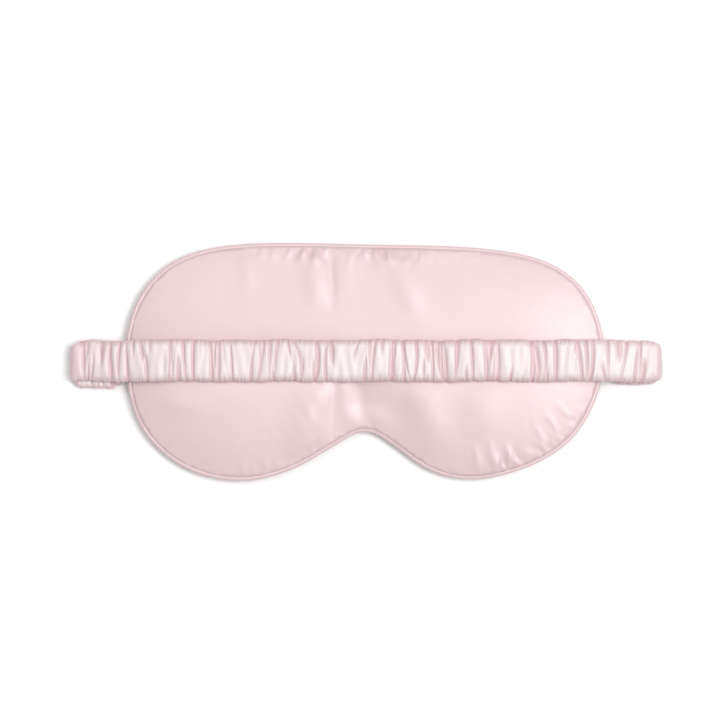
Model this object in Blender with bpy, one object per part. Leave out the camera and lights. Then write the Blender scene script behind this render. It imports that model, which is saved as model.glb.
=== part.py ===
"""Sleep eye mask with a piped edge and a ruched elastic strap, at real size.

The mask lies on its front panel with the face side up. X runs along its width, Y points to the brow
and Z points away from the front panel. The strap leaves both side seams under the piping, folds back
and runs straight across the face side. The mask folds in half about the line x = 0, so each of its
layers is one mesh that is cut there into a left and a right piece.
"""

import math

import bmesh
import bpy
import numpy as np

MM = 0.001  # the dimensions below are in millimetres, and the meshes are in metres

# Outer edge of the piping, from the middle of the brow round by the left end, the left cheek,
# the nose notch, the right cheek and the right end.
EDGE_POINTS = (
    (0, 51.8), (-50, 52.2), (-79, 47), (-96, 34), (-104.5, 15), (-104.8, -9), (-97.3, -31),
    (-78.8, -46.9), (-55, -52.2), (-33, -47.3), (-14, -36.8), (0, -29.7), (14, -38), (29, -48),
    (48, -51.5), (72, -45.6), (91, -33), (102, -13), (104.5, 8), (97.3, 29.7), (80, 44), (50, 50.2),
)
EDGE_STEPS = 77  # points kept on each ring of the mask

GAP = 0.3  # clearance between pieces that touch on the real mask
FOLD_GAP = 0.15  # half of the clearance between the two halves of a layer
FOLD_HEIGHT = 14.0  # height of the fold axis: the top of the strap

# Piping: a cord in a cloth sleeve, whose flange is sewn into the seam.
PIPING_DIAMETER = 2.4
PIPING_CLOTH = 0.3
CORD_DIAMETER = 1.1
PIPING_HEIGHT = 4.7
FLANGE_WIDTH = 7.0
FLANGE_THICKNESS = 0.4

# Panels: each rises or falls from the seam to its flat middle.
PANEL_CLOTH = 0.5
FRONT_RIM_HEIGHT = 3.7  # underside of the front panel at the seam
FRONT_DIP_HEIGHT = 0.1  # the same where the strap comes out over it
FRONT_SLOPE = 20.0  # distance from the seam at which the front panel is flat
DIP_END, RIM_START = 20.0, 34.0  # distances from the strap between which the dip ends
FACE_RIM_HEIGHT = 5.7  # top of the face panel at the seam
FACE_HEIGHT = 9.8  # top of the face panel in its middle
FACE_SLOPE = 21.0

# Filling, between the panels.
LINING_UNDERSIDE = 5.2
LINING_THICKNESS = 0.4
LINING_INSET = 2.5
FRONT_WADDING_INSET = 7.5
FACE_WADDING_INSET = 6.0

# Strap: a satin tube over a flat elastic.
STRAP_Y = 0.7
STRAP_WIDTH, STRAP_THICKNESS, STRAP_CLOTH = 18.4, 3.6, 0.5
PRESSED_THICKNESS, PRESSED_CLOTH = 2.0, 0.3  # where it passes under the piping
ELASTIC_WIDTH, ELASTIC_THICKNESS, PRESSED_ELASTIC = 15.0, 1.2, 0.6
STRAP_RUN_HEIGHT = 12.0  # middle of the strap over the face panel
STRAP_EXIT_HEIGHT = 2.2  # middle of the strap beyond the piping
PRESSED_HEIGHT = 1.9  # middle of the strap under the piping
STRAP_END_X = 96.5  # the end that is sewn into the seam
STRAP_PRESSED_X = 106.0
STRAP_FULL_X = 111.0
STRAP_SPAN = 261.0  # from fold to fold
TURN_STEPS = 8

# Thread tacks across the strap's ends, in the seam allowance.
TACK_THREAD, TACK_HEIGHT = 0.5, 3.5
TACK_X, TACK_DEPTH, TACK_WIDTH, TACK_STITCHES = 98.0, 2.4, 14.0, 6

PINK = (0.88, 0.68, 0.70)


def clear_scene():
    for obj in list(bpy.data.objects):
        bpy.data.objects.remove(obj)


def material(name, color, roughness):
    found = bpy.data.materials.new(name)
    found.use_nodes = True
    shader = found.node_tree.nodes["Principled BSDF"]
    shader.inputs["Base Color"].default_value = (*color, 1)
    shader.inputs["Roughness"].default_value = roughness
    shader.inputs["Metallic"].default_value = 0.0
    return found


def make_object(name, points, faces, finish, smooth=True):
    """An object whose mesh holds these points, given in millimetres."""
    mesh = bpy.data.meshes.new(name)
    mesh.from_pydata([tuple(MM * value for value in point) for point in points], [], faces)
    mesh.materials.append(finish)
    bm = bmesh.new()
    bm.from_mesh(mesh)
    bmesh.ops.recalc_face_normals(bm, faces=bm.faces)
    bm.to_mesh(mesh)
    bm.free()
    if smooth:
        mesh.shade_smooth()
        mesh.set_sharp_from_angle(angle=math.radians(40))
    obj = bpy.data.objects.new(name, mesh)
    bpy.context.scene.collection.objects.link(obj)
    return obj


def smooth_step(value):
    value = np.clip(value, 0, 1)
    return value * value * (3 - 2 * value)


# Outline of the mask


def smooth_loop(points, steps):
    """A closed Catmull-Rom curve through the points, read at even distances, half a step off the
    first point so that no point lies on the fold."""
    points = np.array(points, float)
    t = np.linspace(0, 1, 24, endpoint=False)[:, None]
    dense = []
    for i in range(len(points)):
        a, b, c, d = (points[(i + k) % len(points)] for k in (-1, 0, 1, 2))
        dense.append(0.5 * (2 * b + (c - a) * t + (2 * a - 5 * b + 4 * c - d) * t**2
                            + (3 * b - a - 3 * c + d) * t**3))
    dense = np.concatenate(dense + [points[:1]])
    along = np.insert(np.cumsum(np.linalg.norm(np.diff(dense, axis=0), axis=1)), 0, 0)
    at = (np.arange(steps) + 0.5) * along[-1] / steps
    return np.column_stack([np.interp(at, along, dense[:, axis]) for axis in (0, 1)])


def inset(loop, distance):
    """The counter-clockwise loop moved inwards, or outwards where distance is negative."""
    along = np.roll(loop, -1, axis=0) - np.roll(loop, 1, axis=0)
    along /= np.linalg.norm(along, axis=1)[:, None]
    return loop + distance * np.column_stack([-along[:, 1], along[:, 0]])


def distance_to_loop(points, loop):
    """How far each point lies from the nearest side of the loop."""
    start, side = loop, np.roll(loop, -1, axis=0) - loop
    offset = points[:, None] - start[None]
    share = np.clip((offset * side).sum(2) / (side**2).sum(1), 0, 1)
    return np.linalg.norm(offset - share[..., None] * side, axis=2).min(1)


EDGE = smooth_loop(EDGE_POINTS, EDGE_STEPS)
SEAM = inset(EDGE, PIPING_DIAMETER)


def swell(distance, reach):
    """0 at the seam, rising to 1 where the distance from the seam is the reach."""
    return 1 - (1 - np.clip(distance / reach, 0, 1)) ** 2


def front_underside(points):
    """Height of the front panel's underside: flat in the middle, raised at the seam, low at the strap."""
    clear_of_strap = smooth_step((np.abs(points[:, 1] - STRAP_Y) - DIP_END) / (RIM_START - DIP_END))
    near_side = np.abs(points[:, 0]) > STRAP_END_X / 2
    rim = np.where(near_side, FRONT_DIP_HEIGHT + (FRONT_RIM_HEIGHT - FRONT_DIP_HEIGHT) * clear_of_strap,
                   FRONT_RIM_HEIGHT)
    return rim * (1 - swell(distance_to_loop(points, SEAM), FRONT_SLOPE))


def face_top(points):
    """Height of the face panel's top."""
    risen = swell(distance_to_loop(points, SEAM), FACE_SLOPE)
    return FACE_RIM_HEIGHT + (FACE_HEIGHT - FACE_RIM_HEIGHT) * risen


def layer(name, finish, insets, shares, underside, top):
    """A closed layer of the mask between two heights, on rings from its rim to its flat middle."""
    rings = [inset(SEAM, distance) for distance in insets]
    rings += [share * rings[-1] for share in shares]
    plan = np.concatenate(rings)
    sheets = [np.column_stack([plan, height(plan)]) for height in (underside, top)]
    steps, last = EDGE_STEPS, len(plan) - EDGE_STEPS
    faces = [[sheet + last + i for i in range(steps)] for sheet in (0, len(plan))]
    for i in range(steps):
        j = (i + 1) % steps
        for sheet in (0, len(plan)):
            for ring in range(0, last, steps):
                faces.append([sheet + k for k in (ring + i, ring + j, ring + steps + j, ring + steps + i)])
        faces.append([i, len(plan) + i, len(plan) + j, j])
    return make_object(name, np.concatenate(sheets), faces, finish)


def flat(height):
    return lambda plan: np.full(len(plan), height)


def make_layers(looks):
    """The panels, waddings and lining, each as one whole layer."""
    middle_rings = (0.8, 0.6, 0.4, 0.2)
    yield layer("front_panel", looks["satin"], (0, 3, 7, 12), middle_rings,
                front_underside, lambda plan: front_underside(plan) + PANEL_CLOTH)
    yield layer("face_panel", looks["satin"], (0, 3, 7, 12), middle_rings,
                lambda plan: face_top(plan) - PANEL_CLOTH, face_top)
    yield layer("blackout_lining", looks["lining"], (LINING_INSET,), (),
                flat(LINING_UNDERSIDE), flat(LINING_UNDERSIDE + LINING_THICKNESS))
    yield layer("front_wadding", looks["wadding"], (FRONT_WADDING_INSET, 12), middle_rings,
                lambda plan: front_underside(plan) + PANEL_CLOTH + GAP, flat(LINING_UNDERSIDE - GAP))
    yield layer("face_wadding", looks["wadding"], (FACE_WADDING_INSET, 12), middle_rings,
                flat(LINING_UNDERSIDE + LINING_THICKNESS + GAP),
                lambda plan: face_top(plan) - PANEL_CLOTH - GAP)


# Piping


def sweep_round(loops):
    """Faces and points of closed profiles carried round the seam. A point of a profile is its distance
    outside the seam and its height."""
    points, faces = [], []
    for profile in loops:
        rings = [np.column_stack([inset(SEAM, -out), np.full(EDGE_STEPS, height)]) for out, height in profile]
        first = sum(len(group) for group in points)
        for a in range(len(profile)):
            b = (a + 1) % len(profile)
            for i in range(EDGE_STEPS):
                j = (i + 1) % EDGE_STEPS
                faces.append([first + k for k in (a * EDGE_STEPS + i, a * EDGE_STEPS + j,
                                                  b * EDGE_STEPS + j, b * EDGE_STEPS + i)])
        points.append(np.concatenate(rings))
    return np.concatenate(points), faces


def circle(radius, steps, start=0.0, turn=2 * math.pi):
    """Points of an arc in the plane of the piping's profile, about the cord's middle."""
    angles = [start + turn * k / steps for k in range(steps)]
    middle = PIPING_DIAMETER / 2
    return [(middle + radius * math.cos(a), PIPING_HEIGHT + radius * math.sin(a)) for a in angles]


def make_piping(looks):
    """The cloth sleeve with its flange, hollow, and the cord inside it."""
    half_flange = FLANGE_THICKNESS / 2
    radius = PIPING_DIAMETER / 2
    mouth = math.asin(half_flange / radius)
    round_part = circle(radius, 9, mouth - math.pi, (2 * math.pi - 2 * mouth) * 9 / 8)
    outside = round_part + [(-FLANGE_WIDTH, PIPING_HEIGHT + half_flange),
                            (-FLANGE_WIDTH, PIPING_HEIGHT - half_flange)]
    hollow = circle(radius - PIPING_CLOTH, 8)[::-1]
    sleeve = make_object("piping_sleeve", *sweep_round([outside]), looks["satin"])
    bore = make_object("piping_bore", *sweep_round([hollow]), looks["satin"])
    cord = make_object("piping_cord", *sweep_round([circle(CORD_DIAMETER / 2, 7)]), looks["cord"])
    return sleeve, bore, cord


# Cutting the layers at the fold


def hide(cutter):
    cutter.hide_render = True
    cutter.display_type = "WIRE"


def side_block(name, side):
    """A cutter that holds everything on one side of the fold."""
    near, far, reach = side * FOLD_GAP, side * STRAP_SPAN, STRAP_SPAN
    corners = [(x, y, z) for x in (near, far) for y in (-reach, reach) for z in (-reach, reach)]
    faces = [(0, 1, 3, 2), (4, 6, 7, 5), (0, 4, 5, 1), (2, 3, 7, 6), (0, 2, 6, 4), (1, 5, 7, 3)]
    block = make_object(name, corners, faces, None, smooth=False)
    hide(block)
    return block


def boolean(obj, operation, other):
    cut = obj.modifiers.new(operation.lower(), "BOOLEAN")
    cut.operation = operation
    cut.solver = "EXACT"
    cut.object = other


def cut_in_half(whole, blocks, bodies, bore=None):
    """The layer's left and right pieces, which share its mesh. The whole layer is removed."""
    for side, block in blocks.items():
        piece = bpy.data.objects.new(f"{whole.name}_{side}", whole.data)
        bpy.context.scene.collection.objects.link(piece)
        if bore:
            boolean(piece, "DIFFERENCE", bore)
        boolean(piece, "INTERSECT", block)
        hang(piece, bodies[f"mask_{side}"])
    bpy.data.objects.remove(whole)


# Strap


def strap_route(side):
    """Middle line of one half of the strap as (x, z, pressed) from the seam to the middle of the mask.
    pressed is 1 where the piping squeezes it flat and 0 where it is full."""
    radius = (STRAP_RUN_HEIGHT - STRAP_EXIT_HEIGHT) / 2
    turn_x = (STRAP_SPAN - STRAP_THICKNESS) / 2 - radius
    turn_z = STRAP_EXIT_HEIGHT + radius
    route = [(x, PRESSED_HEIGHT, 1) for x in (STRAP_END_X, STRAP_PRESSED_X)]
    route.append((STRAP_FULL_X, STRAP_EXIT_HEIGHT, 0))
    for k in range(TURN_STEPS + 1):
        angle = math.pi * k / TURN_STEPS - math.pi / 2
        route.append((turn_x + radius * math.cos(angle), turn_z + radius * math.sin(angle), 0))
    route += [(STRAP_SPAN / 4, STRAP_RUN_HEIGHT, 0), (FOLD_GAP, STRAP_RUN_HEIGHT, 0)]
    return [(side * x, z, pressed) for x, z, pressed in route]


def strap_frames(side):
    """The route's points with the direction across the strap's thickness at each."""
    route = np.array(strap_route(side))
    along = np.gradient(route[:, :2], axis=0)
    along[0], along[-1] = (side, 0), (-side, 0)
    along /= np.linalg.norm(along, axis=1)[:, None]
    return route, np.column_stack([-along[:, 1], along[:, 0]])


def strap_rings(side, width, thickness, pressed_thickness):
    """Rings of a flat band with round edges along one half of the strap."""
    route, across = strap_frames(side)
    rings = []
    for (x, z, pressed), (out_x, out_z) in zip(route, across):
        high = (pressed * pressed_thickness + (1 - pressed) * thickness) / 2
        flat_half = (width - thickness) / 2
        ring = []
        for edge in (1, -1):
            for k in range(5):
                angle = edge * math.pi / 2 - math.pi * k / 4
                wide = edge * flat_half + thickness / 2 * math.cos(angle)
                lift = high * math.sin(angle)
                ring.append((x + lift * out_x, STRAP_Y + wide, z + lift * out_z))
        rings.append(ring)
    return rings


def join_rings(rings, first=0):
    """Side faces between rings that follow each other."""
    count = len(rings[0])
    faces = []
    for r in range(len(rings) - 1):
        for i in range(count):
            j = (i + 1) % count
            corners = (r * count + i, r * count + j, (r + 1) * count + j, (r + 1) * count + i)
            faces.append([first + k for k in corners])
    return faces


def make_strap_half(name_side, side, looks, body):
    """The gathered satin tube, open at both ends, and the elastic in it."""
    outer = strap_rings(side, STRAP_WIDTH, STRAP_THICKNESS, PRESSED_THICKNESS)
    inner = strap_rings(side, STRAP_WIDTH - 2 * STRAP_CLOTH, STRAP_THICKNESS - 2 * STRAP_CLOTH,
                        PRESSED_THICKNESS - 2 * PRESSED_CLOTH)
    count, length = len(outer[0]), len(outer)
    start = count * length
    faces = join_rings(outer) + join_rings(inner, start)
    for ring in (0, (length - 1) * count):
        for i in range(count):
            j = (i + 1) % count
            faces.append([ring + i, ring + j, start + ring + j, start + ring + i])
    points = [point for ring in outer + inner for point in ring]
    hang(make_object(f"strap_sleeve_{name_side}", points, faces, looks["satin"]), body)

    band = strap_rings(side, ELASTIC_WIDTH, ELASTIC_THICKNESS, PRESSED_ELASTIC)
    ends = [list(range(count)), list(range((length - 1) * count, length * count))]
    points = [point for ring in band for point in ring]
    hang(make_object(f"strap_elastic_{name_side}", points, join_rings(band) + ends, looks["elastic"]), body)


def make_strap_tack(name_side, side, looks, body):
    """A zigzag of thread across the strap's end, between the strap and the piping's flange."""
    corners = []
    for k in range(2 * TACK_STITCHES + 1):
        y = STRAP_Y - TACK_WIDTH / 2 + TACK_WIDTH * k / (2 * TACK_STITCHES)
        corners.append((side * (TACK_X + TACK_DEPTH * (k % 2)), y))
    half = TACK_THREAD / 2
    rings = []
    for x, y in corners:
        ring = [(x + dx * half, y, TACK_HEIGHT + dz * half) for dx, dz in ((1, 0), (0, 1), (-1, 0), (0, -1))]
        rings.append(ring)
    ends = [[0, 1, 2, 3], [4 * len(rings) - k for k in (4, 3, 2, 1)]]
    points = [point for ring in rings for point in ring]
    tack = make_object(f"strap_end_stitching_{name_side}", points, join_rings(rings) + ends, looks["thread"])
    hang(tack, body)


# Assembly


def make_body_empty(name, height):
    empty = bpy.data.objects.new(name, None)
    empty.empty_display_size = 10 * MM
    empty.location = (0, 0, height * MM)
    bpy.context.scene.collection.objects.link(empty)
    return empty


def hang(piece, body):
    """Parents the piece to its body's empty and leaves it where it is."""
    piece.parent = body
    piece.location = -body.location


def main():
    clear_scene()
    looks = {
        "satin": material("pink_satin", PINK, 0.35),
        "wadding": material("white_wadding", (0.85, 0.85, 0.83), 0.95),
        "lining": material("blackout_cloth", (0.03, 0.03, 0.035), 0.8),
        "cord": material("cotton_cord", (0.85, 0.83, 0.78), 0.9),
        "elastic": material("white_elastic", (0.88, 0.87, 0.86), 0.7),
        "thread": material("pink_thread", (0.80, 0.58, 0.60), 0.6),
    }
    bodies = {
        "mask_left": make_body_empty("mask_left_body", 0),
        "mask_right": make_body_empty("nose_fold_axis", FOLD_HEIGHT),
        "strap_left": make_body_empty("strap_left_body", STRAP_RUN_HEIGHT),
        "strap_right": make_body_empty("strap_right_body", STRAP_RUN_HEIGHT),
    }
    blocks = {"left": side_block("left_block", -1), "right": side_block("right_block", 1)}
    for whole in make_layers(looks):
        cut_in_half(whole, blocks, bodies)
    sleeve, bore, cord = make_piping(looks)
    hide(bore)
    cut_in_half(sleeve, blocks, bodies, bore)
    cut_in_half(cord, blocks, bodies)
    for name_side, side in (("left", -1), ("right", 1)):
        make_strap_half(name_side, side, looks, bodies[f"strap_{name_side}"])
        make_strap_tack(name_side, side, looks, bodies[f"mask_{name_side}"])


main()
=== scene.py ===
"""Looks of the sleep eye mask: puckered satin panels over padding, satin piping, and a ruched strap.

The mask lies on its front panel with the face side up, seen from straight above. Lengths are in
millimetres until they reach a mesh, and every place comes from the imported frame.
"""

import math

import bmesh
import bpy
import numpy as np
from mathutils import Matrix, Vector
from mathutils.geometry import delaunay_2d_cdt
from mathutils.kdtree import KDTree


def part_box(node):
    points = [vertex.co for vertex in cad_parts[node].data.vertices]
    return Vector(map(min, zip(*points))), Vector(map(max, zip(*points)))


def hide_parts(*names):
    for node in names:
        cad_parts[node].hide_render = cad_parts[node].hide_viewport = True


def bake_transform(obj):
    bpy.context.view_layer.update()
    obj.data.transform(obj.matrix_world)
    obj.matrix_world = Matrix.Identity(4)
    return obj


MM = 0.001

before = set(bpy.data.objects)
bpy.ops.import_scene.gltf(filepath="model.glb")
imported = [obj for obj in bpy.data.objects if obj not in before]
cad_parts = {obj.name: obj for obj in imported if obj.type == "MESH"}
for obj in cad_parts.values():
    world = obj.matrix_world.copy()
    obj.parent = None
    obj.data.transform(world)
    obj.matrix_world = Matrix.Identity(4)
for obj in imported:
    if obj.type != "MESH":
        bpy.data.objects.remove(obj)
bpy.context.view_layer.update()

# Cloth and filling
PANEL_CLOTH = 0.35  # thickness of the panels' satin
CLOTH_SPACING = 2.2  # between the simulated points of a panel
TUCK = 1.0  # a panel's rim lies this far outside the seam, against the piping
RIM_RISE = 0.98  # from the piping's middle to that rim, as a share of the piping's radius
LIP, LIP_REACH = 0.2, 2.0  # height and width of the face panel's first steep rise
FACE_PUFF = 3.65  # how far the face panel swells above that
FACE_REACH = 34.0  # distance from the seam at which it is nearly flat
NOSE_DIP = 2.0  # how much lower it lies above the nose
NOSE_X, NOSE_WIDTH = 1.0, 17.0  # where that dip is, and its half width
NOSE_TOP, NOSE_FADE = 14.0, 30.0  # it starts at this height up the mask and is full this far below
FRONT_REACH = 22.0  # distance from the seam at which the front panel lies flat
FLOOR_GAP = 0.05  # the front panel stays this far above the floor
MOST_BUCKLE = 0.9  # how far the simulated cloth may leave the padding's shape
LAYER_GAP = 0.3  # clearance between layers that touch on the real mask
RING_STEPS = 640  # points round the mask
INNER_STEPS, INNER_RINGS = 160, 16  # points round an inner layer, and rings of them
BUMP_PASSES, TURN_PASSES = 30, 20  # how often the seam's places and directions are averaged

# Where the strap presses on the face panel: the cloth's room to rise grows to PRESS_ROOM over PRESS_REACH
PRESS_ROOM, PRESS_REACH = 4.0, 30.0
PRESS_START = 4.0  # it starts to grow this far inside the strap's edge
PRESS_SOFTNESS = 0.6

# Where the strap's ends enter, between the piping and the front panel
EXIT_FROM = 60.0  # distance from the nose line beyond which the front panel makes way for them
EXIT_OVERLAP, EXIT_REACH = 0.6, 3.0  # its rim climbs from just inside the strap's edge, over this width

# Waddings and lining
FACE_WADDING_INSET, FRONT_WADDING_INSET, LINING_INSET = 6.0, 7.5, 2.5
WADDING_FEEL = 3.0  # each wadding stays clear of the panel's cloth within this distance

# Simulation of the panels, run larger than life, where the solver is steady
SIM_SCALE = 10.0
SIM_FRAMES, QUICK_FRAMES = 22, 3
PANEL_BEND = 0.4  # the satin's bending stiffness

# Strap
STRAP_WIDTH, STRAP_THICKNESS = 18.4, 3.5
PRESSED_THICKNESS = 1.9  # of its sewn end
STRAP_CLOTH = 0.2  # thickness of the sleeve's satin
CREASE_DEPTH = 1.5
LAP_HEIGHT = 0.28  # how far one lip of a crease stands above the other
EDGE_HALF = 0.25  # half the sleeve's thickness where its edges are pinched flat
EDGE_SINK = 0.8  # how far the edges lie below the sleeve's middle, towards the mask
STRAP_STEP = 0.3  # between its cross sections
STRAP_DROP = 5.0  # how far it sinks on its way to the fold
DROP_START = 14.0  # it starts to sink this far before the mask's end
SEWN_LENGTH, SEWN_TAPER = 9.0, 6.0  # how much of it is pressed flat, and how soon it fills out again
FOLD_WIDTH = 4.5  # how far along the strap its fold is felt
ROUTE_PASSES = 40  # how often neighbours on its middle line are averaged
GATHER_RATIO = 1.4  # length of the flat sleeve to its gathered length
LOWER_SHIFT = {"left": 3.0, "right": 1.5}  # each folded-back end lies this much nearer the cheeks
CORNER_DRAW = 1.1  # how much narrower the strap is at its fold, on each side
ELASTIC_WIDTH, ELASTIC_THICKNESS = 15.0, 0.7

# Camera and lights
LENS, SENSOR = 100.0, 36.0
VIEW_WIDTH = 319.3  # width of the view at the height of the seam
VIEW_CENTRE = (-0.9, -0.7)


def rng(seed):
    return np.random.default_rng(seed)


def smooth_step(value):
    """0 below 0 and 1 above 1, with a smooth rise between them."""
    value = np.clip(value, 0, 1)
    return value * value * (3 - 2 * value)


# ---------------------------------------------------------------- meshes


def make_mesh(name, points, faces, finish, uv=None, fold=None, closed=True):
    """A smooth-shaded object with these points in millimetres, cloth coordinates uv in millimetres, and
    fold, the weight of painted shade: 1 deep in a crease, up to about half at the strap's edges and bend, 0
    on open cloth."""
    mesh = bpy.data.meshes.new(name)
    mesh.from_pydata((np.asarray(points) * MM).tolist(), [], faces)
    mesh.materials.append(finish)
    mesh.polygons.foreach_set("use_smooth", [True] * len(mesh.polygons))
    if uv is not None:
        layer = mesh.uv_layers.new(name="cloth")
        corners = np.zeros(len(mesh.loops), int)
        mesh.loops.foreach_get("vertex_index", corners)
        layer.data.foreach_set("uv", (np.asarray(uv)[corners] * MM).astype(np.float32).ravel())
    if fold is not None:
        depth = mesh.attributes.new("fold", "FLOAT", "POINT")
        depth.data.foreach_set("value", np.asarray(fold, np.float32).ravel())
    if closed:
        bm = bmesh.new()
        bm.from_mesh(mesh)
        bmesh.ops.recalc_face_normals(bm, faces=bm.faces)
        bm.to_mesh(mesh)
        bm.free()
    mesh.update()
    obj = bpy.data.objects.new(name, mesh)
    bpy.context.scene.collection.objects.link(obj)
    return obj


def grid_faces(rows, columns, first=0):
    """Quads between rings of points."""
    faces = []
    for r in range(rows - 1):
        for c in range(columns):
            d = (c + 1) % columns
            faces.append([first + k for k in (r * columns + c, r * columns + d,
                                              (r + 1) * columns + d, (r + 1) * columns + c)])
    return faces


# ---------------------------------------------------------------- outline of the mask


def seam_from_frame():
    """The seam line: the lowest points of the face panel's rim, in order round the mask."""
    level_within, least_gap = 0.02 * MM, 1.5
    points = []
    for side in ("left", "right"):
        node = f"face_panel_{side}"
        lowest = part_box(node)[0].z
        points += [tuple(v.co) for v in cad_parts[node].data.vertices if v.co.z < lowest + level_within]
    points = np.array(points)[:, :2] / MM
    points = points[np.argsort(np.arctan2(points[:, 1], points[:, 0]))]
    keep = [0]
    for i in range(1, len(points)):
        if np.linalg.norm(points[i] - points[keep[-1]]) > least_gap:
            keep.append(i)
    return points[keep]


def smooth_loop(points, steps):
    """A closed Catmull-Rom curve through the points, read at even distances."""
    between = 24
    t = np.linspace(0, 1, between, endpoint=False)[:, None]
    dense = []
    for i in range(len(points)):
        a, b, c, d = (points[(i + k) % len(points)] for k in (-1, 0, 1, 2))
        dense.append(0.5 * (2 * b + (c - a) * t + (2 * a - 5 * b + 4 * c - d) * t**2
                            + (3 * b - a - 3 * c + d) * t**3))
    dense = np.concatenate(dense + [points[:1]])
    along = np.insert(np.cumsum(np.linalg.norm(np.diff(dense, axis=0), axis=1)), 0, 0)
    at = np.linspace(0, along[-1], steps, endpoint=False)
    return np.column_stack([np.interp(at, along, dense[:, axis]) for axis in (0, 1)]), along[-1]


def softened(values, passes):
    """Neighbours on the loop averaged, so that polygon corners don't show."""
    for _ in range(passes):
        values = (np.roll(values, 1, axis=0) + 2 * values + np.roll(values, -1, axis=0)) / 4
    return values


def inward_from(seam):
    """The direction into the mask at each point of the seam."""
    tangent = np.roll(seam, -1, axis=0) - np.roll(seam, 1, axis=0)
    tangent /= np.linalg.norm(tangent, axis=1)[:, None]
    inward = softened(np.column_stack([-tangent[:, 1], tangent[:, 0]]), TURN_PASSES)
    return inward / np.linalg.norm(inward, axis=1)[:, None]


SEAM, SEAM_LENGTH = smooth_loop(seam_from_frame(), RING_STEPS)
SEAM = softened(SEAM, BUMP_PASSES)
ALONG = np.linspace(0, SEAM_LENGTH, RING_STEPS, endpoint=False)
INWARD = inward_from(SEAM)


def kd_tree(points):
    tree = KDTree(len(points))
    for index, point in enumerate(points):
        tree.insert((point[0], point[1], 0.0), index)
    tree.balance()
    return tree


SEAM_TREE = kd_tree(SEAM)


def from_seam(points):
    """How far each point lies inside the seam line, less than 0 outside it, and how far along the seam its
    nearest place is."""
    nearest = np.array([SEAM_TREE.find((x, y, 0.0))[1] for x, y in points[:, :2].tolist()])
    depth, along = np.full(len(points), np.inf), np.zeros(len(points))
    for first in (nearest - 1, nearest):
        start, end = SEAM[first], SEAM[(first + 1) % RING_STEPS]
        side, offset = end - start, points[:, :2] - start
        share = np.clip((offset * side).sum(1) / (side**2).sum(1), 0, 1)
        gap = np.linalg.norm(offset - share[:, None] * side, axis=1)
        closer = gap < depth
        depth[closer] = gap[closer]
        along[closer] = (ALONG[first] + share * SEAM_LENGTH / RING_STEPS)[closer]
    outside = ((points[:, :2] - SEAM[nearest]) * INWARD[nearest]).sum(1) < 0
    return np.where(outside, -depth, depth), along


def inside(points, loop):
    """Which points lie inside the loop."""
    found = np.zeros(len(points), bool)
    x, y = points[:, 0], points[:, 1]
    for (ax, ay), (bx, by) in zip(loop, np.roll(loop, -1, axis=0)):
        if ay != by:
            crosses = (ay > y) != (by > y)
            found ^= crosses & (x < (bx - ax) * (y - ay) / (by - ay) + ax)
    return found


# ---------------------------------------------------------------- panels


def plan_mesh(spacing, seed):
    """Points spread over the mask's plan, those on the rim first, and the triangles between them."""
    count = int(SEAM_LENGTH / spacing)
    rim = (SEAM - INWARD * TUCK)[np.arange(count) * RING_STEPS // count]
    low, high = rim.min(0), rim.max(0)
    rows = np.arange(low[1], high[1], spacing * math.sqrt(3) / 2)
    columns = np.arange(low[0], high[0], spacing)
    inner = [(x + k % 2 * spacing / 2, y) for k, y in enumerate(rows) for x in columns]
    jitter, clearance = 0.18, 0.55  # shares of the spacing
    inner = np.array(inner) + rng(seed).uniform(-jitter, jitter, (len(inner), 2)) * spacing
    inner = inner[inside(inner, rim) & (from_seam(inner)[0] > clearance * spacing)]
    points = [Vector(point) for point in np.vstack([rim, inner])]
    result = delaunay_2d_cdt(points, [], [list(range(count))], 1, 1e-5)
    return np.array([tuple(v) for v in result[0]]), [list(face) for face in result[2]], count


def near_places(points, places):
    """How strongly each point belongs to the places (x, y, reach, gain)."""
    total = np.zeros(len(points))
    for x, y, reach, gain in places:
        total += gain * np.exp(-((points[:, 0] - x) ** 2 + (points[:, 1] - y) ** 2) / reach**2)
    return total


def set_group(obj, name, weights):
    group = obj.vertex_groups.new(name=name)
    for index, weight in enumerate(weights):
        if weight > 0:
            group.add([index], float(min(weight, 1.0)), "REPLACE")
    return name


def simulate(plan, height, faces, pinned, slack, most_slack, push):
    """Points of the sheet once its slack cloth, held where pinned is 1, has buckled over the filling. Where
    slack is 1 the cloth is longer than the filling by the share most_slack. push is the pressure on it."""
    mesh = bpy.data.meshes.new("cloth_pattern")
    points = np.column_stack([plan, height]) * MM * SIM_SCALE
    mesh.from_pydata(points.tolist(), [], faces)
    obj = bpy.data.objects.new("cloth_pattern", mesh)
    bpy.context.scene.collection.objects.link(obj)
    cloth = obj.modifiers.new("cloth", "CLOTH")
    settings = cloth.settings
    settings.quality = 5
    settings.mass = 0.1
    settings.tension_stiffness = settings.compression_stiffness = 25
    settings.shear_stiffness = 12
    settings.bending_stiffness = PANEL_BEND
    settings.vertex_group_mass = set_group(obj, "seam", pinned)
    settings.vertex_group_shrink = set_group(obj, "slack", slack)
    settings.shrink_min, settings.shrink_max = 0.0, -most_slack
    settings.use_pressure = True
    settings.uniform_pressure_force = push
    settings.effector_weights.gravity = 0
    frames = SIM_FRAMES
    cloth.point_cache.frame_start, cloth.point_cache.frame_end = 1, frames
    for number in range(1, frames + 1):
        bpy.context.scene.frame_set(number)
    done = obj.evaluated_get(bpy.context.evaluated_depsgraph_get()).to_mesh()
    found = np.empty(len(done.vertices) * 3)
    done.vertices.foreach_get("co", found)
    bpy.context.scene.frame_set(1)
    bpy.data.objects.remove(obj)
    return found.reshape(-1, 3) / (MM * SIM_SCALE)


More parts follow.
